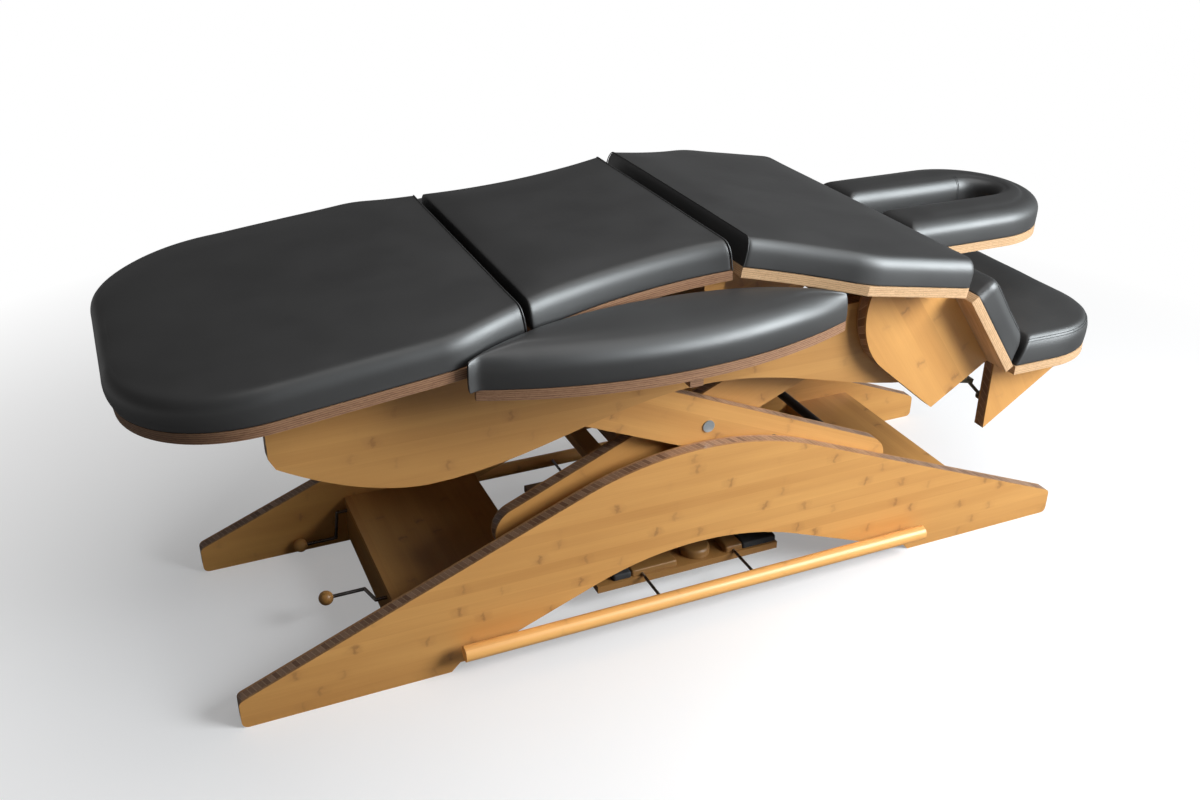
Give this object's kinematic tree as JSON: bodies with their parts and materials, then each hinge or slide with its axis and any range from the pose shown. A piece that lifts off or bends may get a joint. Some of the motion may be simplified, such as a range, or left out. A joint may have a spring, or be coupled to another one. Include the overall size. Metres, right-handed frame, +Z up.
{
  "type": "chiropractic table",
  "caption": "Padded treatment table on a scissor lift, with tilting leg, middle and head sections, a face cradle, folding arm wings, a foot treadle and castor cranks.",
  "frame": {"origin": "on the floor under the middle of the table's box", "axes": "+X towards the head end, +Y to the far side, +Z up"},
  "size_m": [1.8747, 0.874, 0.7584],
  "materials": {
    "bamboo": "laminated bamboo, clear satin lacquer",
    "plywood": "beech plywood, lacquered edge",
    "pale_plywood": "birch plywood, lacquered edge",
    "dowel": "turned hardwood, satin",
    "hide": "smooth synthetic leather, satin",
    "dark_steel": "dark powder coat, satin",
    "zinc_steel": "zinc plated",
    "motor_housing": "fine textured",
    "rubber": "matt",
    "lever_paint": "dark olive paint"
  },
  "bodies": {
    "base": {"base_panel_near": "bamboo", "base_panel_far": "bamboo", "box_tops": "bamboo", "box_boards": "bamboo", "base_stretchers": "bamboo", "base_brackets": "dark_steel", "lower_pivot_shaft": "dark_steel"},
    "lift_outer": {"arm_outer_near": "bamboo", "arm_outer_far": "bamboo", "torque_bar": "dark_steel", "upper_rollers": "rubber", "centre_bolts": "zinc_steel"},
    "lift_inner": {"arm_inner_near": "bamboo", "arm_inner_far": "bamboo", "inner_cross_rail": "bamboo", "lower_rollers": "rubber"},
    "actuator_housing": {"actuator_housing": "motor_housing"},
    "actuator_rod": {"actuator_rod": "zinc_steel"},
    "top_frame": {"beam_near": "bamboo", "beam_far": "bamboo", "cross_rails": "bamboo", "frame_shafts": "dark_steel", "rest_stops": "rubber", "frame_hinges": "dark_steel"},
    "leg_section": {"leg_board": "plywood", "leg_cushion": "hide", "leg_hinge_lugs": "dark_steel"},
    "mid_section": {"mid_board": "plywood", "mid_cushion": "hide", "mid_hinge_lugs": "dark_steel"},
    "head_section": {"thorax_board": "pale_plywood", "thorax_cushion": "hide", "shoulder_board": "pale_plywood", "shoulder_cushion": "hide", "sector_near": "bamboo", "sector_far": "bamboo", "cradle_socket": "bamboo", "forearm_hinge": "dark_steel"},
    "cradle_slider": {"cradle_rods": "zinc_steel"},
    "face_cradle": {"cradle_board": "pale_plywood", "cradle_cushion": "hide"},
    "forearm_rest": {"forearm_board": "pale_plywood", "forearm_cushion": "hide", "forearm_gussets": "bamboo", "forearm_leaf": "dark_steel"},
    "release_lever": {"release_lever": "lever_paint"},
    "wing_near": {"wing_board_near": "plywood", "wing_cushion_near": "hide"},
    "wing_far": {"wing_board_far": "plywood", "wing_cushion_far": "hide"},
    "treadle": {"treadle_board": "bamboo", "foot_bars": "bamboo", "treadle_rods": "dark_steel", "treadle_pads": "rubber"},
    "crank_near": {"crank_rod_near": "dark_steel", "crank_ball_near": "dowel"},
    "crank_far": {"crank_rod_far": "dark_steel", "crank_ball_far": "dowel"},
    "castor_near": {"castor_wheel_near": "rubber"},
    "castor_far": {"castor_wheel_far": "rubber"}
  },
  "joints": [
    {"name": "lift", "type": "hinge", "parent": "base", "child": "lift_outer", "pos_m": [0.434, 0, 0.231], "axis": [0, 1, 0], "range_deg": [-9, 18]},
    {"name": "scissor_centre", "type": "hinge", "parent": "lift_outer", "child": "lift_inner", "pos_m": [0.0704, 0, 0.38534], "axis": [0, 1, 0], "range_deg": [-36, 18]},
    {"name": "lift_top", "type": "hinge", "parent": "lift_inner", "child": "top_frame", "pos_m": [0.434, 0, 0.53968], "axis": [0, 1, 0], "range_deg": [-9, 18]},
    {"name": "actuator_tilt", "type": "hinge", "parent": "base", "child": "actuator_housing", "pos_m": [0.28, 0, 0.065], "axis": [0, 1, 0], "range_deg": [-4.95, 9.8]},
    {"name": "actuator_stroke", "type": "slide", "parent": "actuator_housing", "child": "actuator_rod", "axis": [-0.2495, 0, 0.9684], "range_m": [-0.02982, 0.05865]},
    {"name": "leg_section_tilt", "type": "hinge", "parent": "top_frame", "child": "leg_section", "pos_m": [-0.32323, 0, 0.64321], "axis": [0, 1, 0], "range_deg": [0, 5]},
    {"name": "mid_section_tilt", "type": "hinge", "parent": "top_frame", "child": "mid_section", "pos_m": [-0.28745, 0, 0.64722], "axis": [0, 1, 0], "range_deg": [-3, 0]},
    {"name": "head_section_tilt", "type": "hinge", "parent": "top_frame", "child": "head_section", "pos_m": [0.498, 0, 0.58], "axis": [0, 1, 0], "range_deg": [-2, 12]},
    {"name": "cradle_reach", "type": "slide", "parent": "head_section", "child": "cradle_slider", "axis": [1, 0, 0], "range_m": [0, 0.06]},
    {"name": "cradle_tilt", "type": "hinge", "parent": "cradle_slider", "child": "face_cradle", "pos_m": [0.558, 0, 0.608], "axis": [0, 1, 0], "range_deg": [-5, 12]},
    {"name": "forearm_tilt", "type": "hinge", "parent": "head_section", "child": "forearm_rest", "pos_m": [0.671, 0, 0.436], "axis": [0, 1, 0], "range_deg": [0, 35]},
    {"name": "release_lever_pull", "type": "hinge", "parent": "forearm_rest", "child": "release_lever", "pos_m": [0.705, -0.24, 0.328], "axis": [0, 1, 0], "range_deg": [0, 20]},
    {"name": "wing_near_fold", "type": "hinge", "parent": "top_frame", "child": "wing_near", "pos_m": [-0.085, -0.272, 0.594], "axis": [1, 0, 0], "range_deg": [0, 85]},
    {"name": "wing_far_fold", "type": "hinge", "parent": "top_frame", "child": "wing_far", "pos_m": [-0.085, 0.272, 0.594], "axis": [-1, 0, 0], "range_deg": [0, 85]},
    {"name": "treadle_rock", "type": "hinge", "parent": "base", "child": "treadle", "pos_m": [0.06, 0, 0.08], "axis": [0, 1, 0], "range_deg": [-2.5, 2.5]},
    {"name": "crank_near_turn", "type": "hinge", "parent": "base", "child": "crank_near", "pos_m": [-0.45, -0.11, 0.086], "axis": [1, 0, 0], "range_deg": [-78, 2]},
    {"name": "crank_far_turn", "type": "hinge", "parent": "base", "child": "crank_far", "pos_m": [-0.45, 0.217, 0.086], "axis": [1, 0, 0], "range_deg": [-80, 0]},
    {"name": "castor_near_spin", "type": "hinge", "parent": "crank_near", "child": "castor_near", "pos_m": [-0.42, -0.05033, 0.07332], "axis": [0, 0.2079, 0.9781], "continuous": true},
    {"name": "castor_far_spin", "type": "hinge", "parent": "crank_far", "child": "castor_far", "pos_m": [-0.42, 0.217, 0.025], "axis": [0, 1, 0], "continuous": true}
  ],
  "couplings": [
    {"joint": "scissor_centre", "follows": "lift", "ratio": -2},
    {"joint": "lift_top", "follows": "lift", "ratio": 1},
    {"joint": "actuator_tilt", "follows": "lift", "ratio": 0.539},
    {"joint": "actuator_stroke", "follows": "lift", "m_per_rad": 0.1835}
  ]
}
